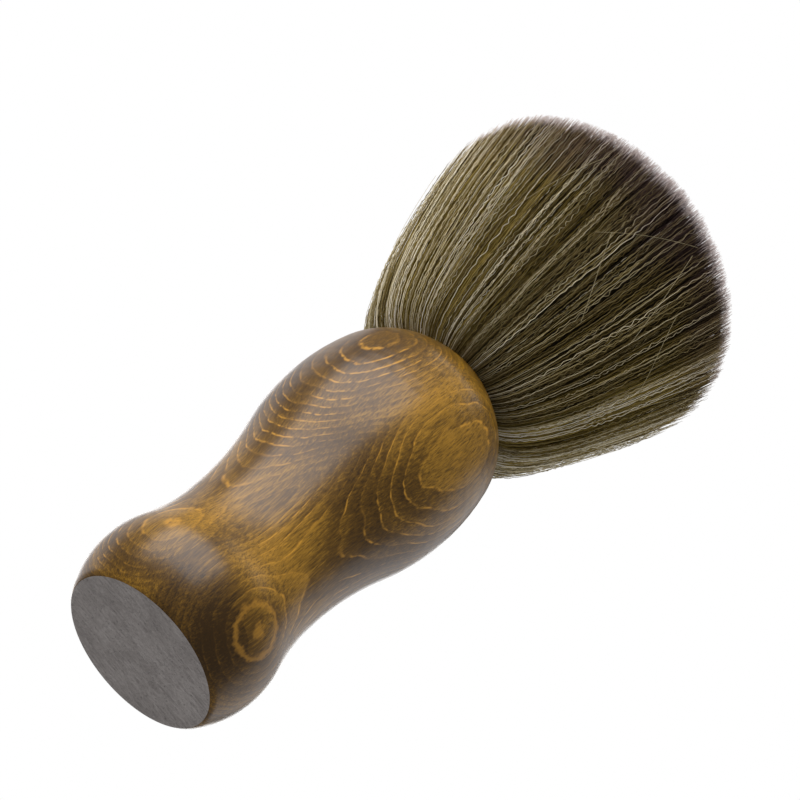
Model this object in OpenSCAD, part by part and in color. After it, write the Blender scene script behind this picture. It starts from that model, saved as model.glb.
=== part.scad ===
// Neck duster brush: a turned wooden handle with a round knot of bristles glued into its mouth.
// Upright, resting on the foot. The origin is the centre of the foot, +Z runs to the bristle tips.

/* [Handle outline] */
// Radius of the belly, the swelling just above the foot
belly_r = 21.3; // [20.5:0.1:22.5]
// Height of the widest point of the belly
belly_z = 11.8; // [10:0.2:14]
// Profile radius of the belly
belly_arc = 21; // [19:0.5:24]
// Radius of the waist, where the fingers close
waist_r = 18.4; // [17.5:0.1:19]
// Height of the waist
waist_z = 31.6; // [30:0.2:34]
// Radius of the bulb, the widest part of the handle
bulb_r = 24.7; // [24:0.1:26]
// Height of the widest point of the bulb
bulb_z = 73.4; // [72:0.2:75]
// Profile radius of the bulb
bulb_arc = 60; // [50:1:70]
// Profile radius of the shoulder that closes in to the mouth
shoulder_arc = 17.8; // [17:0.2:19]
// Angle above the horizontal at which the bulb turns into the shoulder
shoulder_turn = 11.5; // [10:0.5:13]
// Angle above the horizontal at which the shoulder meets the lip of the mouth
mouth_turn = 52; // [50:1:54]
// Size of the bevel round the foot
foot_bevel = 0.7; // [0.3:0.1:1.2]

/* [Socket and knot cup] */
// Radius of the blind hole that the knot is glued into
socket_r = 15.4; // [15:0.1:15.8]
// Height of the floor of the blind hole
socket_floor_z = 70; // [66:1:73]
// Thickness of the adhesive at the side of the cup
adhesive_side = 0.3; // [0.2:0.1:0.5]
// Thickness of the adhesive under the cup
adhesive_floor = 1; // [0.5:0.1:1.5]
// Height of the cup that the knot is potted in
cup_h = 20; // [18:0.5:22]
// Wall thickness of the cup
cup_wall = 0.7; // [0.5:0.1:1]
// Depth of the resin that sets the bristle roots
resin_h = 12; // [10:0.5:13]

/* [Binding cord] */
// Diameter of the cord tied round the knot
cord_d = 0.9; // [0.6:0.1:1]
// Number of turns of the cord
cord_turns = 3; // [1:1:4]

/* [Bristles] */
// Greatest radius of the bristles
head_r = 42.8; // [40:0.1:45]
// Height of the greatest radius
head_z = 155; // [150:0.5:157]
// Rise of the domed tips above the greatest radius
crown_h = 11; // [8:0.5:13]
// Half angle of the inner core of bristles
core_half_angle = 15; // [12:0.5:18]
// Gap between neighbouring locks, and round the core
lock_gap = 0.5; // [0.3:0.1:0.8]

/* [Flexing] */
// Height of the point that the bristles bend about
bend_z = 87.4; // [86:0.1:89]
// Radius, about that point, where the standing roots end
root_reach = 30; // [29:0.5:31]
// Radius, about that point, where the bending neck ends
neck_reach = 44; // [42:0.5:46]
// Clearance between bristles that move past each other
bend_gap = 0.3; // [0.3:0.1:0.5]

/* [Hidden] */
$fn = 96;
lock_count = 12;      // as many as there are bristle_lock nodes
arc_step = 3;         // degrees between the points of a small arc
curve_steps = 24;     // points along the flare and along the crown
crown_edge = 0.55;    // exponent that squares the rim of the crown
crown_rise = 0.9;     // exponent that flattens the top of the crown
wood = [0.66, 0.43, 0.18];
amber = [0.85, 0.7, 0.35];
dark_hair = [0.28, 0.24, 0.15];

// Arc centres and joins of the handle's profile, each arc tangent to the next
function arc_between(step_r, step_z) = (pow(step_z, 2) + pow(step_r, 2)) / (2 * step_r);
low_waist_arc = arc_between(belly_r - waist_r, waist_z - belly_z) - belly_arc;
high_waist_arc = arc_between(bulb_r - waist_r, bulb_z - waist_z) - bulb_arc;
belly_c = [belly_r - belly_arc, belly_z];
low_waist_c = [waist_r + low_waist_arc, waist_z];
high_waist_c = [waist_r + high_waist_arc, waist_z];
bulb_c = [bulb_r - bulb_arc, bulb_z];
shoulder_c = bulb_c + (bulb_arc - shoulder_arc) * [cos(shoulder_turn), sin(shoulder_turn)];
foot_a = asin((foot_bevel - belly_z) / belly_arc);
low_join_a = atan2(waist_z - belly_z, low_waist_c.x - belly_c.x);
high_join_a = atan2(bulb_z - waist_z, high_waist_c.x - bulb_c.x);
mouth = shoulder_c + shoulder_arc * [cos(mouth_turn), sin(mouth_turn)];
foot_r = belly_c.x + belly_arc * cos(foot_a) - foot_bevel;

// The lip is a half round between the shoulder and the socket
lip_r = (mouth.x - socket_r) / 2;
lip_c = [socket_r + lip_r, mouth.y];

// Heights of the potted knot
cup_r = socket_r - adhesive_side;
cup_z = socket_floor_z + adhesive_floor;
cup_top_z = cup_z + cup_h;
knot_r = cup_r - cup_wall;
resin_z = cup_z + cup_wall;
knot_z = resin_z + resin_h;
cord_z = knot_z + cord_d;
cord_pitch = cord_d * 1.1;

lock_angle = 360 / lock_count;
lock_gap_angle = 2 * asin(lock_gap / 2 / head_r);
flare_start = lip_c + [0.2, lip_r + 0.15];

function arc(c, r, from_a, to_a) =
    let (steps = max(2, ceil(abs(to_a - from_a) / arc_step)))
    [for (i = [0:steps]) let (a = from_a + (to_a - from_a) * i / steps) c + r * [cos(a), sin(a)]];

// The long shallow waist arcs get the same number of points as the tighter ones
function long_arc(c, r, from_a, to_a) =
    [for (i = [1:8]) let (a = from_a + (to_a - from_a) * i / 9) c + r * [cos(a), sin(a)]];

function bezier(p, t) =
    pow(1 - t, 3) * p[0] + 3 * t * pow(1 - t, 2) * p[1] + 3 * t * t * (1 - t) * p[2] + t * t * t * p[3];

// Outside of the bristles: they puff out over the lip, widen almost straight, and end in a dome
flare_ctrl = [flare_start, flare_start + [9.5, 1.3], [head_r - 7, head_z - 29], [head_r, head_z]];
flare = [for (i = [0:curve_steps]) bezier(flare_ctrl, i / curve_steps)];
crown = [for (i = [1:curve_steps]) let (a = 90 * i / curve_steps)
         [head_r * pow(cos(a), crown_edge), head_z + crown_h * pow(sin(a), crown_rise)]];

module handle_outline() {
    polygon(concat(
        [[0, 0], [foot_r, 0]],
        arc(belly_c, belly_arc, foot_a, low_join_a),
        long_arc(low_waist_c, low_waist_arc, 180 + low_join_a, 180),
        long_arc(high_waist_c, high_waist_arc, 180, 180 - high_join_a),
        arc(bulb_c, bulb_arc, -high_join_a, shoulder_turn - arc_step),
        arc(shoulder_c, shoulder_arc, shoulder_turn, mouth_turn),
        arc(lip_c, lip_r, arc_step, 180),
        [[socket_r, socket_floor_z], [0, socket_floor_z]]));
}

module bristle_outline() {
    polygon(concat(
        [[0, knot_z], [knot_r, knot_z], [knot_r, cup_top_z], [socket_r, cup_top_z]],
        arc(lip_c, lip_r, 180, 100),
        flare, crown));
}

// A disc about the bend point: the bristles are cut on spheres, so they can turn past each other
module reach(r) {
    translate([0, bend_z]) circle(r);
}

module head_outline() {
    difference() {
        bristle_outline();
        reach(neck_reach + bend_gap);
    }
}

// The core fans out from the bend point, and its cone runs on well past the crown
module core_sector() {
    far = head_z + crown_h;
    translate([0, bend_z]) polygon([[0, 0], [far * tan(core_half_angle), far], [0, far]]);
}

module handle() {
    color(wood) rotate_extrude() handle_outline();
}

module socket_adhesive() {
    color(amber) rotate_extrude() difference() {
        translate([0, socket_floor_z]) square([socket_r, adhesive_floor + cup_h]);
        translate([0, cup_z]) square([cup_r, cup_h + 1]);
    }
}

module knot_cup() {
    color("silver") rotate_extrude() difference() {
        translate([0, cup_z]) square([cup_r, cup_h]);
        translate([0, resin_z]) square([knot_r, cup_h]);
    }
}

module root_resin() {
    color(amber) translate([0, 0, resin_z]) cylinder(h = resin_h, r = knot_r);
}

module cord_sections(d) {
    for (i = [0:cord_turns - 1])
        translate([knot_r - cord_d / 2, cord_z + i * cord_pitch]) circle(d = d, $fn = 32);
}

module binding_cord() {
    color("ivory") rotate_extrude() cord_sections(cord_d);
}

module bristle_root() {
    color(dark_hair) rotate_extrude() difference() {
        intersection() {
            bristle_outline();
            reach(root_reach);
        }
        // the cord bites into the bundle
        translate([knot_r - cord_d, cord_z - cord_d])
            square([cord_d + 1, (cord_turns - 1) * cord_pitch + 2 * cord_d]);
    }
}

module bristle_neck() {
    color(dark_hair) rotate_extrude() difference() {
        intersection() {
            bristle_outline();
            reach(neck_reach);
        }
        reach(root_reach + bend_gap);
    }
}

module bristle_core() {
    color([0.34, 0.28, 0.19]) rotate_extrude() intersection() {
        head_outline();
        core_sector();
    }
}

// Locks are numbered anticlockwise, seen from the tips, from the one centred on +X
module bristle_lock(number) {
    shade = 0.9 + 0.1 * (number % 2);
    color(shade * [0.36, 0.31, 0.2])
    rotate([0, 0, (number - 1) * lock_angle - (lock_angle - lock_gap_angle) / 2])
    rotate_extrude(angle = lock_angle - lock_gap_angle) difference() {
        head_outline();
        translate([0, -lock_gap / sin(core_half_angle)]) core_sector();
    }
}

handle();
socket_adhesive();
knot_cup();
root_resin();
binding_cord();
bristle_root();
bristle_neck();
bristle_core();
bristle_lock(1);  // bristle_lock_01
bristle_lock(2);  // bristle_lock_02
bristle_lock(3);  // bristle_lock_03
bristle_lock(4);  // bristle_lock_04
bristle_lock(5);  // bristle_lock_05
bristle_lock(6);  // bristle_lock_06
bristle_lock(7);  // bristle_lock_07
bristle_lock(8);  // bristle_lock_08
bristle_lock(9);  // bristle_lock_09
bristle_lock(10);  // bristle_lock_10
bristle_lock(11);  // bristle_lock_11
bristle_lock(12);  // bristle_lock_12
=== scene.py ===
import math

import bpy
import numpy as np
from mathutils import Matrix, Vector


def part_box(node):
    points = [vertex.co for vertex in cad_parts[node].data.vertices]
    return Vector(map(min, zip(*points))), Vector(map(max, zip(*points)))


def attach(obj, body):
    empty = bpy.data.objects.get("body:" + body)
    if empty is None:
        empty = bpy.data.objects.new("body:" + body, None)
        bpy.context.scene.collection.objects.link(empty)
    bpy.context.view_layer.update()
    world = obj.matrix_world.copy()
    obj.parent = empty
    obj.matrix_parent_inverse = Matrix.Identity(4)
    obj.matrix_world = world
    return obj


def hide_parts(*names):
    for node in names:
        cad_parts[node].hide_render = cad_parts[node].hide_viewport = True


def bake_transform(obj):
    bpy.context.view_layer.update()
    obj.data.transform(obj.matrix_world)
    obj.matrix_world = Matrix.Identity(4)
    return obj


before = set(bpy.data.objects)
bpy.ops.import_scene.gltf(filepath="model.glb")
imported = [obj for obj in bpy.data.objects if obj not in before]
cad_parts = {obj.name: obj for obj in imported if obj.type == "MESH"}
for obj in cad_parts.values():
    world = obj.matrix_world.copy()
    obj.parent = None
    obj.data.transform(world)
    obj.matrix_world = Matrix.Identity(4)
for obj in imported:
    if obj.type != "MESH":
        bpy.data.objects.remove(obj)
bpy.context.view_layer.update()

MM = 0.001
LOCK_COUNT = 12
LOCKS = [f"bristle_lock_{k + 1:02d}" for k in range(LOCK_COUNT)]
RANDOM_SEED = 41

# ------------------------------------------------------------------ sizes from the frame


def rings_of(node_names):
    """(radius, height) of every mesh point on these CAD nodes, which are all round about Z."""
    pairs = set()
    for name in node_names:
        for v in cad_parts[name].data.vertices:
            pairs.add((round(math.hypot(v.co.x, v.co.y), 5), round(v.co.z, 5)))
    return np.array(sorted(pairs, key=lambda pair: (pair[1], pair[0])))


def widest_rings(node_names):
    """The outer skin: the greatest radius at each height, as rows of (radius, height)."""
    rings = rings_of(node_names)
    heights = np.unique(rings[:, 1])
    return np.array([[rings[rings[:, 1] == h, 0].max(), h] for h in heights])


SOCKET_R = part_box("socket_adhesive")[1].x
SOCKET_FLOOR_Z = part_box("socket_adhesive")[0].z
RESIN_TOP_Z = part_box("root_resin")[1].z
KNOT_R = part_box("root_resin")[1].x
HANDLE_SKIN = np.array([row for row in widest_rings(["handle"]) if row[0] > SOCKET_R + 0.1 * MM])
LIP_Z = HANDLE_SKIN[-1, 1]
TIP_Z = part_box("bristle_core")[1].z

hair_skin = widest_rings(["bristle_root", "bristle_neck", "bristle_core"] + LOCKS)
hair_skin = hair_skin[hair_skin[:, 1] > LIP_Z]
widest = int(hair_skin[:, 0].argmax())
HEAD_R, HEAD_Z = hair_skin[widest]
flare = hair_skin[: widest + 1]
FLARE_SKIN = flare[flare[:, 0] >= np.maximum.accumulate(flare[:, 0])]
CROWN_SKIN = hair_skin[widest:]

# The bristles are split a little below the locks, into pieces under the split and over it.
SPLIT_SHARE = 0.88
SPLIT_Z = LIP_Z + SPLIT_SHARE * (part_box(LOCKS[0])[0].z - LIP_Z)

# ------------------------------------------------------------------ node helpers


class Nodes:
    """Short calls for building a node tree. Those that make a value return its output socket."""

    def __init__(self, tree):
        self.tree = tree

    def add(self, kind, **settings):
        node = self.tree.nodes.new(kind)
        for key, value in settings.items():
            setattr(node, key, value)
        return node

    def put(self, socket, value):
        if isinstance(value, bpy.types.NodeSocket):
            self.tree.links.new(value, socket)
        else:
            socket.default_value = value

    def math(self, operation, a, b=0.0, c=0.0):
        node = self.add("ShaderNodeMath", operation=operation)
        for socket, value in zip(node.inputs, (a, b, c)):
            self.put(socket, value)
        return node.outputs[0]

    def measure(self, operation, a, b):
        """The distance between two vectors, or their dot product."""
        node = self.add("ShaderNodeVectorMath", operation=operation)
        self.put(node.inputs[0], a)
        self.put(node.inputs[1], b)
        return node.outputs["Value"]

    def noise(self, at, scale, detail=2.0, rough=0.5, distortion=0.0):
        node = self.add("ShaderNodeTexNoise")
        self.put(node.inputs["Vector"], at)
        self.put(node.inputs["Scale"], scale)
        self.put(node.inputs["Detail"], detail)
        self.put(node.inputs["Roughness"], rough)
        self.put(node.inputs["Distortion"], distortion)
        return node.outputs["Fac"]

    def stretch(self, at, scale):
        node = self.add("ShaderNodeMapping")
        self.put(node.inputs["Vector"], at)
        self.put(node.inputs["Scale"], scale)
        return node.outputs[0]

    def steps(self, value, low, high, to_low=0.0, to_high=1.0):
        """A smooth step from to_low, where the value is low, to to_high, where it is high."""
        node = self.add("ShaderNodeMapRange", interpolation_type="SMOOTHSTEP")
        for socket, number in zip(node.inputs, (value, low, high, to_low, to_high)):
            self.put(socket, number)
        return node.outputs[0]

    def mix(self, amount, a, b, blend="MIX"):
        node = self.add("ShaderNodeMix", data_type="RGBA", blend_type=blend)
        self.put(node.inputs["Factor"], amount)
        first, second = [s for s in node.inputs if s.type == "RGBA"]
        self.put(first, a)
        self.put(second, b)
        return next(s for s in node.outputs if s.type == "RGBA")

    def ramp(self, value, stops):
        node = self.add("ShaderNodeValToRGB")
        self.put(node.inputs[0], value)
        while len(node.color_ramp.elements) < len(stops):
            node.color_ramp.elements.new(0.5)
        for element, (position, colour) in zip(node.color_ramp.elements, stops):
            element.position = position
            element.color = (*colour, 1)
        return node.outputs[0]

    def bump(self, height, strength, distance):
        node = self.add("ShaderNodeBump")
        self.put(node.inputs["Strength"], strength)
        self.put(node.inputs["Distance"], distance)
        self.put(node.inputs["Height"], height)
        return node.outputs[0]

    def millimetres(self):
        """The place in the object's own frame, in millimetres."""
        return self.stretch(self.add("ShaderNodeTexCoord").outputs["Object"], (1000, 1000, 1000))

    def along_x(self, x):
        node = self.add("ShaderNodeCombineXYZ")
        self.put(node.inputs["X"], x)
        return node.outputs[0]

    def attribute(self, name):
        return self.add("ShaderNodeAttribute", attribute_name=name).outputs["Fac"]

    def shader(self, kind, **sockets):
        """A shader of this kind. An underscore in a socket's name stands for a space."""
        node = self.add(kind)
        for key, value in sockets.items():
            self.put(node.inputs[key.replace("_", " ")], value)
        return node.outputs[0]

    def mix_shaders(self, amount, a, b):
        node = self.add("ShaderNodeMixShader")
        for socket, value in zip(node.inputs, (amount, a, b)):
            self.put(socket, value)
        return node.outputs[0]

    def surface(self, colour, roughness, normal=None, **sockets):
        """The material's own surface, from the colour, the roughness, a bump and other sockets."""
        if normal is not None:
            sockets["Normal"] = normal
        shader = self.shader("ShaderNodeBsdfPrincipled", Base_Color=colour, Roughness=roughness, **sockets)
        self.finish("ShaderNodeOutputMaterial", shader)

    def finish(self, kind, shader):
        self.put(self.add(kind).inputs["Surface"], shader)


def new_material(name):
    """An empty material, and the short calls that build its node tree."""
    material = bpy.data.materials.new(name)
    material.use_nodes = True
    material.node_tree.nodes.clear()
    return material, Nodes(material.node_tree)


# ------------------------------------------------------------------ camera, floor and light

CAMERA_AT = Vector((0.0, -0.2887, -0.1544))
CAMERA_AIM = Vector((-0.0047, 0.0, 0.0893))
CAMERA_ROLL = math.radians(49.8)
CAMERA_LENS = 76.7
CAMERA_SENSOR = 36.0
CAMERA_CLIP = 0.01

FLOOR_HALF = 1.5
FLOOR_COLOUR = (0.55, 0.55, 0.545, 1)
FLOOR_GLOW = 0.55
FLOOR_FADE = (0.18, 0.40)

BACKDROP = 1.0
AMBIENT = 0.42
MIRRORED = 0.09

# Each light: name, azimuth and elevation in degrees, distance, width, height, watts, colour
LIGHTS = (
    ("key", -47, 20, 0.75, 1.0, 0.62, 6.4, (0.985, 0.965, 1.0)),
    ("side", 118, 18, 0.75, 0.75, 0.85, 1.35, (0.98, 0.97, 1.0)),
    ("rim", -145, 20, 0.75, 0.9, 0.8, 1.5, (0.97, 0.96, 1.0)),
    ("above", 0, 85, 0.8, 0.6, 0.6, 1.6, (1.0, 1.0, 1.0)),
    ("back", 180, 20, 0.9, 0.7, 0.6, 3.0, (1.0, 1.0, 1.0)),
)


def make_camera():
    data = bpy.data.cameras.new("camera")
    data.lens = CAMERA_LENS
    data.sensor_width = CAMERA_SENSOR
    data.clip_start = CAMERA_CLIP
    camera = bpy.data.objects.new("camera", data)
    turn = (CAMERA_AIM - CAMERA_AT).to_track_quat("-Z", "Y").to_matrix().to_4x4()
    roll = Matrix.Rotation(CAMERA_ROLL, 4, "Z")
    camera.matrix_world = Matrix.Translation(CAMERA_AT) @ turn @ roll
    bpy.context.scene.collection.objects.link(camera)
    bpy.context.scene.camera = camera


def floor_material():
    """Pale and faintly glowing near the brush, as white as the backdrop further off, and clear from
    underneath, so that the foot can be seen."""
    material, n = new_material("floor_pale")
    lit = n.add("ShaderNodeAddShader")
    n.put(lit.inputs[0], n.shader("ShaderNodeBsdfDiffuse", Color=FLOOR_COLOUR))
    n.put(lit.inputs[1], n.shader("ShaderNodeEmission", Strength=FLOOR_GLOW))
    white = n.shader("ShaderNodeEmission", Strength=BACKDROP)
    clear = n.shader("ShaderNodeBsdfTransparent")
    here = n.add("ShaderNodeNewGeometry")
    away = n.measure("DISTANCE", here.outputs["Position"], (0, 0, 0))
    top = n.mix_shaders(n.steps(away, *FLOOR_FADE), lit.outputs[0], white)
    n.finish("ShaderNodeOutputMaterial", n.mix_shaders(here.outputs["Backfacing"], top, clear))
    return material


def make_floor():
    """A floor that the brush stands on. It throws no shadow and no light back onto the brush."""
    corners = [(-FLOOR_HALF, -FLOOR_HALF, 0), (FLOOR_HALF, -FLOOR_HALF, 0),
               (FLOOR_HALF, FLOOR_HALF, 0), (-FLOOR_HALF, FLOOR_HALF, 0)]
    mesh = bpy.data.meshes.new("floor")
    mesh.from_pydata(corners, [], [(0, 1, 2, 3)])
    mesh.materials.append(floor_material())
    floor = bpy.data.objects.new("floor", mesh)
    bpy.context.scene.collection.objects.link(floor)
    floor.visible_shadow = False
    floor.visible_diffuse = False
    floor.visible_glossy = False
    floor.visible_transmission = False


def make_world():
    """A white backdrop, and two different strengths round it: for matt light and for reflections."""
    world = bpy.data.worlds.new("studio")
    world.use_nodes = True
    n = Nodes(world.node_tree)
    n.tree.nodes.clear()
    path = n.add("ShaderNodeLightPath")
    shown = n.shader("ShaderNodeBackground", Color=(1, 1, 1, 1), Strength=AMBIENT)
    for strength, ray in ((MIRRORED, "Is Glossy Ray"), (BACKDROP, "Is Camera Ray")):
        sky = n.shader("ShaderNodeBackground", Color=(1, 1, 1, 1), Strength=strength)
        shown = n.mix_shaders(path.outputs[ray], shown, sky)
    n.finish("ShaderNodeOutputWorld", shown)
    bpy.context.scene.world = world


def soft_light(name, azimuth, elevation, distance, width, height, watts, colour):
    """An area light round the middle of the brush. Azimuth 0 is towards -Y, 90 towards +X."""
    a, e = math.radians(azimuth), math.radians(elevation)
    middle = Vector((0, 0, TIP_Z / 2))
    towards = Vector((math.sin(a) * math.cos(e), -math.cos(a) * math.cos(e), math.sin(e)))
    data = bpy.data.lights.new(name, "AREA")
    data.shape = "RECTANGLE"
    data.size = width
    data.size_y = height
    data.energy = watts
    data.color = colour
    light = bpy.data.objects.new(name, data)
    light.visible_camera = False
    at = middle + towards * distance
    light.matrix_world = Matrix.Translation(at) @ (-towards).to_track_quat("-Z", "Y").to_matrix().to_4x4()
    bpy.context.scene.collection.objects.link(light)


# ------------------------------------------------------------------ mesh building


def mesh_piece(name, points, faces, attributes=None):
    """A smooth-shaded mesh object from numpy arrays. Faces is a list of arrays, each of faces with the
    same number of corners. Attributes are one value a point."""
    corners = np.concatenate([g.ravel() for g in faces]).astype(np.int32)
    sizes = np.concatenate([np.full(len(g), g.shape[1]) for g in faces]).astype(np.int32)
    starts = np.concatenate([[0], np.cumsum(sizes)[:-1]]).astype(np.int32)
    mesh = bpy.data.meshes.new(name)
    mesh.vertices.add(len(points))
    mesh.vertices.foreach_set("co", np.asarray(points, np.float32).ravel())
    mesh.loops.add(len(corners))
    mesh.loops.foreach_set("vertex_index", corners)
    mesh.polygons.add(len(sizes))
    mesh.polygons.foreach_set("loop_start", starts)
    mesh.polygons.foreach_set("loop_total", sizes)
    mesh.polygons.foreach_set("use_smooth", np.ones(len(sizes), bool))
    for key, values in (attributes or {}).items():
        layer = mesh.attributes.new(key, "FLOAT", "POINT")
        layer.data.foreach_set("value", np.asarray(values, np.float32))
    mesh.update(calc_edges=True)
    mesh.validate()
    piece = bpy.data.objects.new(name, mesh)
    bpy.context.scene.collection.objects.link(piece)
    return piece


def lathe(outline, segments):
    """Points and faces of a closed body turned about Z. The outline starts and ends on the axis."""
    angles = np.arange(segments) * 2 * math.pi / segments
    inner = outline[1:-1]
    r, z = inner[:, 0][:, None], inner[:, 1][:, None]
    points = np.stack([r * np.cos(angles), r * np.sin(angles), z + 0 * angles], -1).reshape(-1, 3)
    ends = np.array([[0, 0, outline[0, 1]], [0, 0, outline[-1, 1]]])
    points = np.concatenate([points, ends])
    k = np.arange(segments)
    nxt = (k + 1) % segments
    rows = np.arange(len(inner) - 1)[:, None] * segments
    quads = np.stack([rows + k, rows + nxt, rows + segments + nxt, rows + segments + k], -1).reshape(-1, 4)
    start, end = len(points) - 2, len(points) - 1
    last = (len(inner) - 1) * segments
    first_cap = np.stack([np.full(segments, start), nxt, k], -1)
    last_cap = np.stack([last + k, last + nxt, np.full(segments, end)], -1)
    return points, [quads, first_cap, last_cap]


def smooth_curve(points, parts):
    """A centripetal Catmull-Rom curve through the points, with parts steps between neighbours."""
    p = np.concatenate([[2 * points[0] - points[1]], points, [2 * points[-1] - points[-2]]])
    gaps = np.sqrt(np.linalg.norm(np.diff(p, axis=0), axis=1))
    out = []
    for i in range(len(points) - 1):
        p0, p1, p2, p3 = p[i:i + 4]
        t0 = 0.0
        t1 = t0 + gaps[i]
        t2 = t1 + gaps[i + 1]
        t3 = t2 + gaps[i + 2]
        t = np.linspace(t1, t2, parts, endpoint=False)[:, None]
        a1 = (t1 - t) / (t1 - t0) * p0 + (t - t0) / (t1 - t0) * p1
        a2 = (t2 - t) / (t2 - t1) * p1 + (t - t1) / (t2 - t1) * p2
        a3 = (t3 - t) / (t3 - t2) * p2 + (t - t2) / (t3 - t2) * p3
        b1 = (t2 - t) / (t2 - t0) * a1 + (t - t0) / (t2 - t0) * a2
        b2 = (t3 - t) / (t3 - t1) * a2 + (t - t1) / (t3 - t1) * a3
        out.append((t2 - t) / (t2 - t1) * b1 + (t - t1) / (t2 - t1) * b2)
    out.append(points[-1:])
    return np.concatenate(out)


# ------------------------------------------------------------------ wood, in millimetres

RING_GAP = 0.85
# Each face of the growth rings: azimuth, closeness of the rings, tilt, and shift
RING_FACES = ((-47.0, 1.0, 0.12, 0.0), (33.0, 0.78, 0.012, 9.7))
FACE_JOIN = 1.6
# On the first face and on the second: width of a ring's line, and where it fades near the seam
LINE_WIDTH = (0.15, 0.10)
SEAM_FADE = (12.0, 4.5)
# Closeness of each noise, per millimetre, across the grain (X and Y) and along it (Z)
DRIFT_GRAIN = (0.05, 0.05, 0.022)
WIGGLE_GRAIN = (0.40, 0.40, 0.14)
SHOWN_GRAIN = (0.10, 0.10, 0.05)
BROKEN_GRAIN = (0.7, 0.7, 0.35)
ZONE_GRAIN = (0.055, 0.055, 0.03)
FIBRE_GRAIN = (3.2, 3.2, 0.24)
PORE_GRAIN = (5.5, 5.5, 0.5)
EYE_GRAIN = (2.5, 2.5, 0.6)
SCRATCH_GRAIN = (0.25, 1.7, 1.0)
CROSS_GRAIN = (1.4, 0.3, 1.0)
# Middle of a patch, its reach, and how much lighter or darker the stain took
STAIN_PATCHES = (
    (6, -20, 50, 13, -0.12), (16, -12, 50, 14, -0.04), (4, -20, 4, 12, -0.16), (-22, -5, 59, 16, -0.10),
    (2, -24, 80, 15, 0.13), (-10, -17, 22, 13, 0.14), (8, -17, 27, 11, 0.15), (-18, -12, 14, 9, 0.08),
    (2, -20, 19, 8, 0.13), (12, -17, 8, 15, -0.20), (14, -20, 76, 14, 0.10), (-10, -22, 62, 18, -0.10),
    (-3, -18, 36, 13, 0.10), (12, -15, 41, 11, -0.04), (6, -18, 37, 6, 0.06),
)
# Heights count this much in a stain patch's reach, so the patches are longer than wide
PATCH_SQUASH = 0.7
# Middle of a patch without ring lines, its radius, and the radius at which the lines are back in full
PLAIN_PATCHES = ((-3, -20, 5, 8.0, 15.0), (19, -9, 3, 7.5, 12.5))
RING_EYE = (11.4, -18.0, 11.9)
RING_EYE_R = 5.7
RING_HEART_R = 1.3
WOOD_STOPS = [(0.24, (0.055, 0.025, 0.002)), (0.44, (0.150, 0.072, 0.004)),
              (0.58, (0.310, 0.158, 0.011)), (0.80, (0.52, 0.26, 0.022))]
PORE_COLOUR = (0.032, 0.018, 0.004, 1)
RING_COLOUR = (0.70, 0.34, 0.030, 1)
# painted reflection: the foot's grey stops stand partly for pale surroundings mirrored in the lacquer, on top
# of the end grain's own grey
FOOT_GRAIN_AND_REFLECTION_STOPS = [(0.36, (0.325, 0.290, 0.278)), (0.53, (0.415, 0.374, 0.358)),
              (0.70, (0.520, 0.474, 0.456))]
FOOT_PORE_COLOUR = (0.13, 0.112, 0.105, 1)


def growth_rings(n, place):
    """The depth through the growth rings, the distance from the seam where the two faces meet, and
    whether this is the second face, as 0 or 1."""
    sides = []
    for azimuth, scale, tilt, offset in RING_FACES:
        a = math.radians(azimuth)
        across = (scale * math.sin(a), -scale * math.cos(a), tilt)
        sides.append(n.math("ADD", n.measure("DOT_PRODUCT", place, across), offset))
    depth = n.math("SMOOTH_MAX", *sides, FACE_JOIN)
    seam = n.math("ABSOLUTE", n.math("SUBTRACT", *sides))
    drift = n.noise(n.stretch(place, DRIFT_GRAIN), 1.0, 2.0, 0.5)
    wiggle = n.noise(n.stretch(place, WIGGLE_GRAIN), 1.0, 1.0, 0.5)
    depth = n.math("ADD", depth, n.math("MULTIPLY", drift, 3.0))
    second = n.math("GREATER_THAN", sides[1], sides[0])
    return n.math("ADD", depth, n.math("MULTIPLY", wiggle, 0.34)), seam, second


def by_face(n, second, values):
    """The first value on the first face of the rings, and the second value on the second face."""
    return n.math("MULTIPLY_ADD", second, values[1] - values[0], values[0])


def stain_zones(n, place):
    """How much lighter or darker the stain took, in soft patches about these points of the surface."""
    total = 0.0
    for x, y, z, reach, amount in STAIN_PATCHES:
        away = n.measure("DISTANCE", n.stretch(place, (1, 1, PATCH_SQUASH)), (x, y, z * PATCH_SQUASH))
        total = n.math("ADD", total, n.steps(away, reach, 0.0, 0.0, amount))
    return total


def ring_eye(n, place):
    """One ring that only just meets the surface: (its oval line with a small heart, its inside, and
    the space round it), each from 0 to 1."""
    wobble = n.noise(place, 0.55, 2.0, 0.6)
    away = n.math("ADD", n.measure("DISTANCE", place, RING_EYE), n.math("MULTIPLY_ADD", wobble, 2.2, -1.1))
    away = n.math("ADD", away, n.noise(n.stretch(place, EYE_GRAIN), 1.0, 1.0, 0.5))
    rim = n.steps(n.math("ABSOLUTE", n.math("SUBTRACT", away, RING_EYE_R)), 1.05, 0.0, 0.0, 0.46)
    heart = n.steps(n.math("ABSOLUTE", n.math("SUBTRACT", away, RING_HEART_R)), 1.2, 0.0, 0.0, 0.4)
    inside = n.steps(away, RING_EYE_R, RING_EYE_R - 1.2)
    return n.math("MAXIMUM", rim, heart), inside, n.steps(away, RING_EYE_R + 1.0, RING_EYE_R + 4.0)


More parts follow.
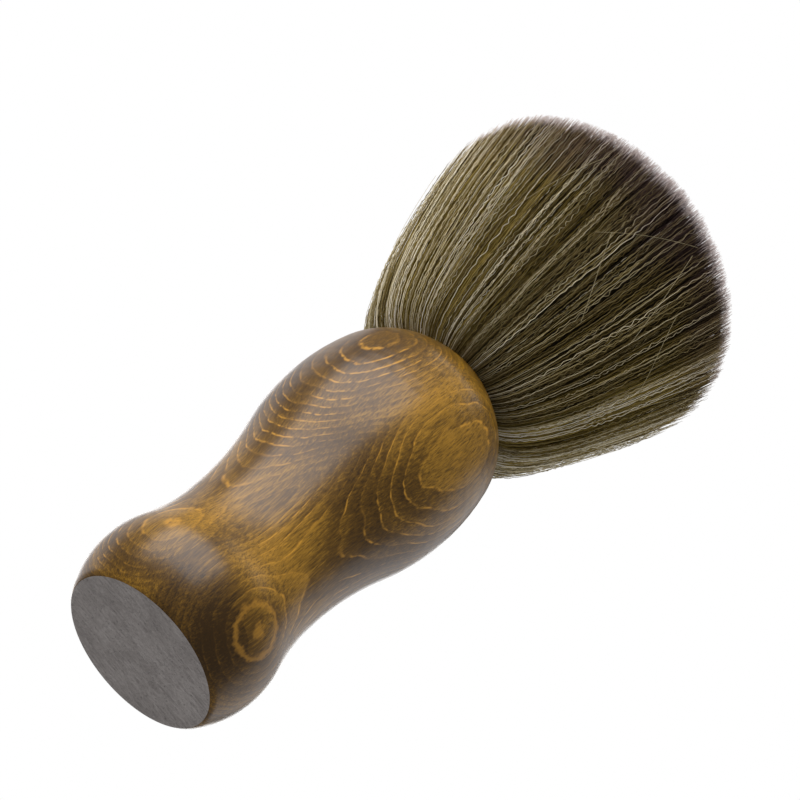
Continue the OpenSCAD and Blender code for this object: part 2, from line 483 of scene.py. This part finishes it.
def ring_lines(n, place, ring, seam, second):
    """The thin bright lines between the growth rings: broken, and faint in places."""
    width = by_face(n, second, LINE_WIDTH)
    line = n.math("SUBTRACT", 1.0, n.steps(n.math("PINGPONG", ring, 0.5), 0.0, width))
    shown = n.steps(n.noise(n.stretch(place, SHOWN_GRAIN), 1.0, 2.0, 0.55), 0.40, 0.60)
    broken = n.steps(n.noise(n.stretch(place, BROKEN_GRAIN), 1.0, 2.0, 0.6), 0.34, 0.60)
    line = n.math("MULTIPLY", n.math("MULTIPLY", line, n.math("MULTIPLY_ADD", shown, 0.75, 0.15)), broken)
    line = n.math("MULTIPLY", line, n.steps(seam, 0.5, by_face(n, second, SEAM_FADE), 0.15, 1.0))
    for x, y, z, bare, full in PLAIN_PATCHES:
        line = n.math("MULTIPLY", line, n.steps(n.measure("DISTANCE", place, (x, y, z)), bare, full))
    return line


def wood_material():
    material, n = new_material("stained_beech")
    place = n.millimetres()
    depth, seam, second = growth_rings(n, place)
    ring = n.math("FRACT", n.math("DIVIDE", depth, RING_GAP))
    eye, inside, round_eye = ring_eye(n, place)
    line = n.math("MULTIPLY", ring_lines(n, place, ring, seam, second), round_eye)
    line = n.math("MAXIMUM", line, eye)

    zone = n.noise(n.stretch(place, ZONE_GRAIN), 1.0, 3.0, 0.55)
    band = n.noise(n.along_x(n.math("MULTIPLY", depth, 0.30)), 1.0, 2.0, 0.6)
    fibre = n.noise(n.stretch(place, FIBRE_GRAIN), 1.0, 3.0, 0.7)
    pores = n.noise(n.stretch(place, PORE_GRAIN), 1.0, 1.0, 0.5)
    tone = n.math("ADD", n.math("MULTIPLY", zone, 0.45), n.math("MULTIPLY", band, 0.55))
    tone = n.math("ADD", tone, n.math("MULTIPLY", ring, -0.09))
    tone = n.math("ADD", tone, stain_zones(n, place))
    tone = n.math("ADD", tone, n.math("MULTIPLY", inside, 0.06))
    tone = n.math("ADD", tone, n.math("MULTIPLY_ADD", fibre, 0.72, -0.36))
    ground = n.ramp(tone, WOOD_STOPS)
    ground = n.mix(n.math("MULTIPLY", n.steps(pores, 0.56, 0.68), 0.5), ground, PORE_COLOUR)
    colour = n.mix(n.math("MULTIPLY", line, 0.9), ground, RING_COLOUR)
    relief = n.math("ADD", n.math("MULTIPLY", fibre, 0.6), n.math("MULTIPLY", pores, -0.5))
    n.surface(colour, 0.5, n.bump(relief, 0.32, 0.00012),
              Coat_Weight=0.9, Coat_Roughness=0.29, Coat_IOR=1.5, Specular_IOR_Level=0.15)
    return material


def foot_material():
    """The flat end of the handle: end grain under the same lacquer, with fine sanding marks, grey partly of
    its own and partly as a painted reflection of pale surroundings in the lacquer.
    """
    material, n = new_material("foot_grain_and_reflection")
    place = n.millimetres()
    scratch = n.noise(n.stretch(place, SCRATCH_GRAIN), 1.0, 2.0, 0.6, distortion=0.6)
    cross = n.noise(n.stretch(place, CROSS_GRAIN), 1.0, 2.0, 0.6)
    cloud = n.noise(place, 0.12, 2.0, 0.5)
    pores = n.noise(place, 1.6, 1.0, 0.4)
    pits = n.noise(place, 1.1, 2.0, 0.6)
    rings = n.math("FRACT", n.math("DIVIDE", growth_rings(n, place)[0], RING_GAP * 3))
    tone = n.math("ADD", n.math("MULTIPLY", scratch, 0.55), n.math("MULTIPLY", cloud, 0.5))
    tone = n.math("ADD", tone, n.math("MULTIPLY", rings, 0.06))
    tone = n.math("ADD", tone, n.math("MULTIPLY_ADD", pits, 0.4, -0.2))
    ground = n.ramp(tone, FOOT_GRAIN_AND_REFLECTION_STOPS)
    colour = n.mix(n.math("MULTIPLY", n.steps(pores, 0.66, 0.74), 0.6), ground, FOOT_PORE_COLOUR)
    relief = n.math("ADD", scratch, n.math("ADD", n.math("MULTIPLY", cross, 0.6), pits))
    n.surface(colour, n.steps(scratch, 0.3, 0.7, 0.34, 0.5), n.bump(relief, 1.0, 0.0006),
              Coat_Weight=0.35, Coat_Roughness=0.3)
    return material


# ------------------------------------------------------------------ hair colours

TIP_BAND = (0.67, 0.91)
PALE_END = (0.945, 1.0)
ROOT_ZONE = (0.0, 0.22)
DARK_STOPS = [(0.0, (0.018, 0.0115, 0.004)), (0.28, (0.081, 0.056, 0.013)),
              (0.58, (0.266, 0.187, 0.036)), (1.0, (0.62, 0.475, 0.150))]
LIGHT_STOPS = [(0.0, (0.14, 0.098, 0.030)), (0.35, (0.33, 0.262, 0.112)),
               (0.7, (0.71, 0.62, 0.40)), (1.0, (0.94, 0.88, 0.71))]
DARK_TIP_SHARE = 0.85
LIGHT_TIP_SHARE = 0.6
FLECK_GRAIN = (2.4, 2.4, 0.9)
STREAK_GRAIN = (2.6, 2.6, 0.18)
TIP_COLOURS = ((0.054, 0.030, 0.027, 1), (0.24, 0.160, 0.137, 1))
PALE_COLOUR = (0.66, 0.57, 0.54, 1)
PAINTED_ROOT_SHADE = (0.88, 0.89, 0.97, 1)
SHADOW_STOPS = [(0.3, (0.010, 0.008, 0.005)), (0.7, (0.050, 0.040, 0.022))]


def hair_material(name, stops, tip_share):
    """Bristle colour from each strand's tone, which carries the painted shade of the swaths, darker and
    greyer at the roots as painted shade, purple-brown near the tips and pale at the very ends."""
    material, n = new_material(name)
    place = n.millimetres()
    along = n.attribute("along")
    fleck = n.noise(n.stretch(place, FLECK_GRAIN), 1.0, 2.0, 0.6)
    patch = n.noise(place, 0.07, 2.0, 0.5)
    tone = n.math("ADD", n.attribute("tone"), n.math("MULTIPLY_ADD", fleck, 0.40, -0.20))
    tone = n.math("ADD", tone, n.math("MULTIPLY_ADD", patch, 0.24, -0.12))
    edge = n.math("ADD", along, n.math("MULTIPLY_ADD", patch, 0.30, -0.15))
    tips = n.mix(n.steps(tone, 0.2, 1.0), *TIP_COLOURS)
    banded = n.math("MULTIPLY", n.steps(edge, *TIP_BAND, 0.0, tip_share), n.attribute("band"))
    colour = n.mix(banded, n.ramp(tone, stops), tips)
    pale = n.math("MULTIPLY", n.steps(along, *PALE_END), n.attribute("pale"))
    colour = n.mix(pale, colour, PALE_COLOUR)
    # painted shade: the strands are darkened and greyed towards their roots at the lip
    painted_root_shade = n.mix(n.steps(along, *ROOT_ZONE), PAINTED_ROOT_SHADE, (1.0, 1.0, 1.0, 1))
    colour = n.mix(1.0, colour, painted_root_shade, "MULTIPLY")
    n.surface(colour, 0.5, Specular_IOR_Level=0.10)
    return material


def fill_material():
    """The dark mass seen between the strands."""
    material, n = new_material("hair_shadow")
    streak = n.noise(n.stretch(n.millimetres(), STREAK_GRAIN), 1.0, 3.0, 0.6)
    n.surface(n.ramp(streak, SHADOW_STOPS), 0.7, n.bump(streak, 0.8, 0.0006))
    return material


# ------------------------------------------------------------------ hair strands

TUBE_SIDES = 3
TIP_REACH = 1.5 * MM
TIP_TILT = 1.3 * MM
RAGGED = 0.7
WANDER_ACROSS = 0.22 * MM
WANDER_DEPTH = 0.10 * MM
UNEVEN = 0.9 * MM
HOLLOW = 0.5 * MM
CLUMP_COUNT = 170
CREST_SPREAD = 0.030
CRIMP_SHORT = 2.2 * MM
CRIMP_LONG = 4.2 * MM
# Middle and width in degrees, and amount: swaths of lighter or darker fur, the broad dark one on the side
# towards -Y being painted shade, and a corner of longer fur
TONE_AND_SHADE_SWATHS = ((-74, 30, -0.35), (-29, 7, 0.42), (-16, 5, -0.08), (-3, 9, 0.28), (-150, 35, 0.03))
CORNER = (-160, 35, 2.0 * MM)

FLARE_STEPS = np.linalg.norm(np.diff(FLARE_SKIN, axis=0), axis=1)
FLARE_ALONG = np.concatenate([[0], np.cumsum(FLARE_STEPS)])
STRAND_LENGTH = float(FLARE_ALONG[-1])
SPLIT_U = float(np.interp(SPLIT_Z, FLARE_SKIN[:, 1], FLARE_ALONG)) / STRAND_LENGTH
ROOT_R = SOCKET_R - 0.5 * MM
ROOT_U = -3.0 * MM / STRAND_LENGTH


def flare_at(along):
    """(radius, height) on the outer skin at this share of a strand's length."""
    return (np.interp(along * STRAND_LENGTH, FLARE_ALONG, FLARE_SKIN[:, 0]),
            np.interp(along * STRAND_LENGTH, FLARE_ALONG, FLARE_SKIN[:, 1]))


def crown_height(share):
    """Height of the domed tips at this share of the head's radius."""
    order = CROWN_SKIN[:, 0].argsort()
    return np.interp(share * HEAD_R, CROWN_SKIN[order, 0], CROWN_SKIN[order, 1])


def strand_line(u, share, cut):
    """(radius, height) at each step u of many strands: u runs from 0 at the lip to 1 at the tip. share is
    each strand's place from the axis, 0, to the outside, 1. cut is how far its tip lies below the crown."""
    along = u[None, :]
    share, cut = share[:, None], cut[:, None]
    out_r, out_z = flare_at(along)
    out_z = out_z + np.minimum(along, 0) * STRAND_LENGTH
    out_r = np.where(along < 0, ROOT_R, out_r)
    lift = np.clip((out_z - LIP_Z) / (HEAD_Z - LIP_Z), 0, 1)
    straight_r = ROOT_R + (HEAD_R - ROOT_R) * lift ** 0.9
    r = share * (straight_r + (out_r - straight_r) * share ** 6)
    rise = (crown_height(np.minimum(share, 1.0)) - HEAD_Z - cut) * np.clip(along, 0, 1) ** 2
    return r, out_z + rise


def strand_steps(low, high):
    """Places along a strand: low steps up to the split, and high steps from it to the tip."""
    return np.concatenate([np.linspace(ROOT_U, SPLIT_U, low, endpoint=False),
                           np.linspace(SPLIT_U, 1, high)])


def make_clumps(rng, count):
    """Strands gather in clumps, each with its own lean, length and tone."""
    return {
        "azimuth": (np.arange(count) + rng.uniform(-0.3, 0.3, count)) * 2 * math.pi / count,
        "gather": rng.uniform(0.0, 0.22, count),
        "lean": rng.normal(0, 0.006, count),
        "lift": rng.normal(-0.1, 0.18, count) * MM,
        "cut": np.abs(rng.normal(0, 0.35, count)) * MM,
        "tone": rng.normal(0, 0.035, count),
        "crest": rng.uniform(0.15, 0.85, count),
    }


def slow_wave(rng, along, size):
    """A lazy sideways wander along each strand, in metres."""
    count = len(along)
    wave = 0
    for turns, share in ((1.6, 1.0), (3.7, 0.45), (8.0, 0.2)):
        rate = turns * rng.uniform(0.7, 1.3, count)[:, None]
        wave = wave + share * np.sin(2 * math.pi * rate * along + rng.uniform(0, 2 * math.pi, count)[:, None])
    return size * wave * np.clip(along * 4, 0, 1)


def swell(azimuth, middle, width, amount):
    """An amount that fades to both sides of one azimuth. The middle and the width are in degrees."""
    off = (np.degrees(azimuth) - middle + 180) % 360 - 180
    return amount * np.exp(-(off / width) ** 2)


def crimp_waves(rng, along, size, rate):
    """Uneven zigzag swings across and in depth, in metres, tighter at the roots than at the tips."""
    count = len(along)
    stretch = CRIMP_LONG - CRIMP_SHORT
    cycles = STRAND_LENGTH / stretch * np.log(1 + stretch / CRIMP_SHORT * along)
    cycles = cycles * rate * rng.uniform(0.75, 1.25, count)[:, None]
    phase = rng.uniform(0, 2 * math.pi, count)[:, None]
    cycles = cycles + 0.30 * np.sin(2 * math.pi * along * rng.uniform(2, 6, count)[:, None] + 3 * phase)
    swing = 0.9 * np.sin(2 * math.pi * cycles + phase) + 0.35 * np.sin(2.7 * math.pi * cycles + 3 * phase)
    depth = np.sin(1.94 * math.pi * cycles + 1.7 * phase)
    fade = 0.6 + 0.4 * np.sin(2 * math.pi * along * rng.uniform(1, 4, count)[:, None] + 2 * phase)
    size = size * rng.uniform(0.4, 1.2, count)[:, None] * np.clip(along * 12, 0, 1) * fade
    return size * swing, 0.45 * size * depth


def make_strands(rng, clumps, u, count, shares, tone, crimp, crested=False):
    """One layer of strands, one row a strand. shares is (least, most) of the head's radius, tone is
    (middle, spread), and crimp is (size, rate). Crested layers lie mostly on some clumps."""
    share = np.sqrt(rng.uniform(shares[0] ** 2, shares[1] ** 2, count))
    azimuth = rng.uniform(0, 2 * math.pi, count)
    number = len(clumps["azimuth"])
    if crested:
        chance = clumps["crest"] / clumps["crest"].sum()
        azimuth = clumps["azimuth"][rng.choice(number, count, p=chance)] + rng.normal(0, CREST_SPREAD, count)
        azimuth = azimuth % (2 * math.pi)
    pick = np.round(azimuth / (2 * math.pi) * number + rng.normal(0, 0.3, count)).astype(int) % number
    off = (azimuth - clumps["azimuth"][pick] + math.pi) % (2 * math.pi) - math.pi
    cut = clumps["cut"][pick] + rng.exponential(RAGGED, count) * MM - TIP_REACH
    longer = swell(azimuth, *CORNER) * share - TIP_TILT * share * np.cos(azimuth)
    r, z = strand_line(u, share, cut - longer)
    along = np.clip(u, 0, 1)[None, :] + 0 * r
    grow = along ** 1.5
    lean = clumps["lean"][pick] - off * clumps["gather"][pick]
    a = azimuth[:, None] + lean[:, None] * grow + rng.normal(0, 0.010, count)[:, None] * along
    side = (clumps["lift"][pick] * share)[:, None] * grow
    uneven = UNEVEN * np.cos(a) * along ** 2.5 - HOLLOW * np.sin(math.pi * along)
    swing, depth = crimp_waves(rng, along, *crimp)
    a = a + (swing + slow_wave(rng, along, WANDER_ACROSS)) / np.maximum(r, 2 * MM)
    r = r + side + uneven * share[:, None] + depth + slow_wave(rng, along, WANDER_DEPTH)
    tones_and_shade = tone[0] + clumps["tone"][pick] + rng.normal(0, tone[1], count)
    # painted shade: the broad swath darkens the fur on the side towards -Y, away from the key light, besides
    # varying its tone
    tones_and_shade = tones_and_shade + sum(swell(azimuth, *swath) for swath in TONE_AND_SHADE_SWATHS)
    bare = 0.85 * share ** 4 * (1 - np.abs(np.sin(azimuth)) ** 1.5)
    return {"points": np.stack([r * np.cos(a), r * np.sin(a), z], -1), "along": along,
            "azimuth": azimuth, "tone": tones_and_shade, "band": 1 - bare,
            "pale": np.interp(share, (0.75, 1.0), (0.45, 0.9))}


# ------------------------------------------------------------------ hair pieces

STRAY_COUNT = 16
STRAY_STEPS = 40
STRAY_LIFT = 0.35 * MM
STRAY_TONE = 0.55
INNER_PARTS = 4
FILL_SHARE = 0.86
FILL_DROP = 4 * MM
FILL_SEGMENTS = 96
TAPER_START = 0.93
TAPER = 0.65

# Steps below and above the split. INNER_STEPS is the first place, the last, and the number of steps.
COVER_STEPS = (8, 30)
CRIMPED_STEPS = (24, 78)
INNER_STEPS = (0.55, 1, 12)
COVER = {"count": 8400, "shares": (0.86, 0.995), "tone": (0.43, 0.18), "crimp": (0.16 * MM, 0.65)}
CRIMPED = {"count": 700, "shares": (0.985, 1.014), "tone": (0.47, 0.28), "crimp": (0.29 * MM, 1.0),
           "crested": True}
INNER = {"count": 7600, "shares": (0.0, 0.88), "tone": (0.46, 0.17), "crimp": (0.06 * MM, 0.4)}
COVER_THICK = 0.11 * MM
CRIMPED_THICK = 0.08 * MM
INNER_THICK = 0.17 * MM
STRAY_THICK = 0.055 * MM


def tubes(points, radius):
    """Closed thin three-sided tubes along rows of points (strands, steps, 3): points and face arrays."""
    count, steps, _ = points.shape
    along = np.gradient(points, axis=1)
    along /= np.linalg.norm(along, axis=2, keepdims=True) + 1e-12
    outward = points * np.array([1, 1, 0]) + np.array([1e-5, 0, 0])
    side = np.cross(along, outward)
    side /= np.linalg.norm(side, axis=2, keepdims=True) + 1e-12
    face = np.cross(side, along)
    corners = [2 * math.pi * k / TUBE_SIDES for k in range(TUBE_SIDES)]
    rings = [points + radius[..., None] * (math.cos(a) * face + math.sin(a) * side) for a in corners]
    verts = np.stack(rings, 2).reshape(-1, 3)
    base = (np.arange(count)[:, None] * steps + np.arange(steps - 1)[None, :]).reshape(-1, 1) * TUBE_SIDES
    k = np.arange(TUBE_SIDES)[None, :]
    nxt = (k + 1) % TUBE_SIDES
    quads = np.stack([base + k, base + nxt, base + TUBE_SIDES + nxt, base + TUBE_SIDES + k], -1)
    start = (np.arange(count) * steps * TUBE_SIDES)[:, None]
    end = start + (steps - 1) * TUBE_SIDES
    caps = np.concatenate([start + np.arange(TUBE_SIDES)[::-1], end + np.arange(TUBE_SIDES)])
    return verts, [quads.reshape(-1, 4), caps]


def strand_map(count, steps):
    """A flat layout for the baked colours: each strand is a thin row, in two columns."""
    rows = (count + 1) // 2
    strand = np.arange(count)
    left = (strand // rows * 0.5)[:, None, None]
    low = (strand % rows / rows)[:, None, None]
    step = np.linspace(0.01, 0.49, steps)[None, :, None]
    corner = (0.15 + 0.7 * np.arange(TUBE_SIDES) / TUBE_SIDES)[None, None, :]
    return np.stack([left + step + 0 * corner, low + corner / rows + 0 * step], -1).reshape(-1, 2)


def hair_piece(name, strands, rows, columns, thick, material):
    """One mesh of some of a layer's strands. Its points carry their place along the strand and the
    strand's own values, and the tubes' end faces are flat shaded."""
    points = strands["points"][rows, columns]
    along = strands["along"][rows, columns]
    radius = thick * (1 - TAPER * np.clip((along - TAPER_START) / (1 - TAPER_START), 0, 1))
    verts, faces = tubes(points, radius)
    values = {"along": np.repeat(along.reshape(-1), TUBE_SIDES)}
    for key in ("tone", "band", "pale"):
        values[key] = np.repeat(strands[key][rows], points.shape[1] * TUBE_SIDES)
    piece = mesh_piece(name, verts, faces, values)
    smooth = np.arange(len(piece.data.polygons)) < len(faces[0])
    piece.data.polygons.foreach_set("use_smooth", smooth)
    place = strand_map(*points.shape[:2])
    corner = np.zeros(len(piece.data.loops), np.int32)
    piece.data.loops.foreach_get("vertex_index", corner)
    layer = piece.data.uv_layers.new(name="OFBake")
    layer.data.foreach_set("uv", place[corner].astype(np.float32).ravel())
    piece.data.materials.append(material)
    return piece


def lock_of(azimuth):
    """Which lock an azimuth lies in: the first is centred on +X."""
    return np.round(azimuth / (2 * math.pi) * LOCK_COUNT).astype(int) % LOCK_COUNT


def layer_pieces(strands, u, label, thick, material):
    """Splits a layer of full-length strands into a lower and an upper piece for each lock."""
    locks = lock_of(strands["azimuth"])
    cut = int(np.argmin(np.abs(u - SPLIT_U)))
    for k in range(LOCK_COUNT):
        rows = locks == k
        roots = hair_piece(f"{label}_roots_{k + 1:02d}", strands, rows, slice(0, cut + 1), thick, material)
        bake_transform(roots)
        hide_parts("bristle_root", "bristle_neck")
        ends = hair_piece(f"{label}_{k + 1:02d}", strands, rows, slice(cut, None), thick, material)
        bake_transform(ends)
        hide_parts(LOCKS[k])


def inner_pieces(strands, label, thick, material):
    """The ends of the strands inside the locks and the core, which show at the brush's face."""
    part = (strands["azimuth"] / (2 * math.pi / INNER_PARTS)).astype(int)
    for k in range(INNER_PARTS):
        piece = hair_piece(f"{label}_{k + 1}", strands, part == k, slice(None), thick, material)
        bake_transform(piece)
        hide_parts("bristle_core")


def make_strays(rng, label, thick, material):
    """A few long fine hairs that lie across the others."""
    count = STRAY_COUNT
    u = np.linspace(0, 1, STRAY_STEPS)[None, :]
    start = rng.uniform(0.35, 0.75, count)[:, None]
    along = start + (0.97 - start) * u * rng.uniform(0.5, 1.0, count)[:, None]
    azimuth = rng.uniform(0, 2 * math.pi, count)
    turn = rng.choice([-1, 1], count) * rng.uniform(0.15, 0.45, count)
    a = azimuth[:, None] + turn[:, None] * u * (1 + rng.normal(0, 0.3, count)[:, None] * (1 - u))
    r, z = flare_at(along)
    r = r + STRAY_LIFT
    strands = {"points": np.stack([r * np.cos(a), r * np.sin(a), z], -1), "along": along * 0.8,
               "tone": np.full(count, STRAY_TONE), "band": np.zeros(count), "pale": np.zeros(count)}
    piece = hair_piece(label, strands, slice(None), slice(None), thick, material)
    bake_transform(piece)


def fill_piece(name, outline, material):
    points, faces = lathe(outline, FILL_SEGMENTS)
    piece = mesh_piece(name, points, faces)
    piece.data.materials.append(material)
    return piece


def make_fill():
    """A dark core that closes the view between the strands, in a lower and an upper piece."""
    material = fill_material()
    narrow = np.array([FILL_SHARE, 1])
    resin_r = KNOT_R - 0.1 * MM
    ring = np.array([[np.interp(SPLIT_Z, FLARE_SKIN[:, 1], FLARE_SKIN[:, 0]) * FILL_SHARE, SPLIT_Z]])
    root = np.array([[0, RESIN_TOP_Z], [resin_r, RESIN_TOP_Z], [ROOT_R - 0.6 * MM, LIP_Z - 4 * MM]])
    low = FLARE_SKIN[FLARE_SKIN[:, 1] < SPLIT_Z] * narrow
    lower = np.concatenate([root, low, ring, [[0, SPLIT_Z]]])
    high = FLARE_SKIN[FLARE_SKIN[:, 1] > SPLIT_Z] * narrow
    high = high[high[:, 1] < HEAD_Z - FILL_DROP]
    crown = CROWN_SKIN * narrow - np.array([0, FILL_DROP])
    upper = np.concatenate([[[0, SPLIT_Z]], ring, high, crown])
    upper[-1, 0] = 0
    roots = fill_piece("hair_shadow_roots", lower, material)
    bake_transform(roots)
    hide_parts("bristle_root", "bristle_neck")
    core = fill_piece("hair_shadow", upper, material)
    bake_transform(core)
    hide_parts("bristle_core")


def make_hair():
    rng = np.random.default_rng(RANDOM_SEED)
    clumps = make_clumps(rng, CLUMP_COUNT)
    dark = hair_material("bristle_dark", DARK_STOPS, DARK_TIP_SHARE)
    light = hair_material("bristle_light", LIGHT_STOPS, LIGHT_TIP_SHARE)
    u = strand_steps(*COVER_STEPS)
    layer_pieces(make_strands(rng, clumps, u, **COVER), u, "bristles", COVER_THICK, dark)
    u = strand_steps(*CRIMPED_STEPS)
    layer_pieces(make_strands(rng, clumps, u, **CRIMPED), u, "crimped_bristles", CRIMPED_THICK, light)
    u = np.linspace(*INNER_STEPS)
    inner_pieces(make_strands(rng, clumps, u, **INNER), "inner_bristles", INNER_THICK, dark)
    make_strays(rng, "stray_bristles", STRAY_THICK, light)


# ------------------------------------------------------------------ handle and the parts in its socket

HANDLE_SEGMENTS = 224
SKIN_PARTS = 3
FOOT_RINGS = 6
BORE_RINGS = 12
BORE_TOP = 0.6 * MM
FLAT_FACE_Z = 0.05 * MM


def make_handle():
    """The turned handle: its outline runs from the foot's centre up the outside, over the lip, and down
    the socket to its floor."""
    skin = smooth_curve(HANDLE_SKIN, SKIN_PARTS)
    foot = np.linspace([0, 0], HANDLE_SKIN[0] * np.array([1, 0]), FOOT_RINGS, endpoint=False)
    bore = np.linspace([SOCKET_R, LIP_Z - BORE_TOP], [SOCKET_R, SOCKET_FLOOR_Z], BORE_RINGS)
    outline = np.concatenate([foot, skin, bore, [[0, SOCKET_FLOOR_Z]]])
    points, faces = lathe(outline, HANDLE_SEGMENTS)
    piece = mesh_piece("turned_handle", points, faces)
    piece.data.materials.append(wood_material())
    piece.data.materials.append(foot_material())
    for face in piece.data.polygons:
        if face.center.z < FLAT_FACE_Z:
            face.material_index = 1
            face.use_smooth = False
    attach(piece, "handle")
    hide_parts("handle")


def plain_material(name, light, dark, roughness, grain, metallic=0.0):
    """A hidden part's finish: a cloudy colour with a fine relief."""
    material, n = new_material(name)
    place = n.millimetres()
    cloud = n.noise(place, grain, 3.0, 0.6)
    fine = n.noise(place, grain * 8, 2.0, 0.6)
    colour = n.mix(n.steps(cloud, 0.35, 0.65), (*dark, 1), (*light, 1))
    rough = n.steps(fine, 0.3, 0.7, roughness - 0.06, roughness + 0.06)
    n.surface(colour, rough, n.bump(fine, 0.3, 0.00015), Metallic=metallic)
    return material


def finish_hidden_parts():
    """The parts inside the socket keep their CAD shapes and get their finishes."""
    finishes = {
        "socket_adhesive": plain_material("adhesive", (0.62, 0.50, 0.28), (0.48, 0.37, 0.19), 0.35, 0.4),
        "knot_cup": plain_material("cup_metal", (0.72, 0.73, 0.74), (0.60, 0.61, 0.62), 0.3, 0.9, 1.0),
        "root_resin": plain_material("root_resin", (0.34, 0.22, 0.09), (0.24, 0.15, 0.06), 0.3, 0.5),
        "binding_cord": plain_material("cord", (0.46, 0.42, 0.34), (0.30, 0.27, 0.21), 0.8, 2.0),
    }
    for name, material in finishes.items():
        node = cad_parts[name]
        node.data.materials.clear()
        node.data.materials.append(material)


# ------------------------------------------------------------------ the scene

bpy.context.scene.view_settings.view_transform = "Standard"
make_camera()
make_floor()
make_world()
for light in LIGHTS:
    soft_light(*light)
make_handle()
finish_hidden_parts()
make_fill()
make_hair()
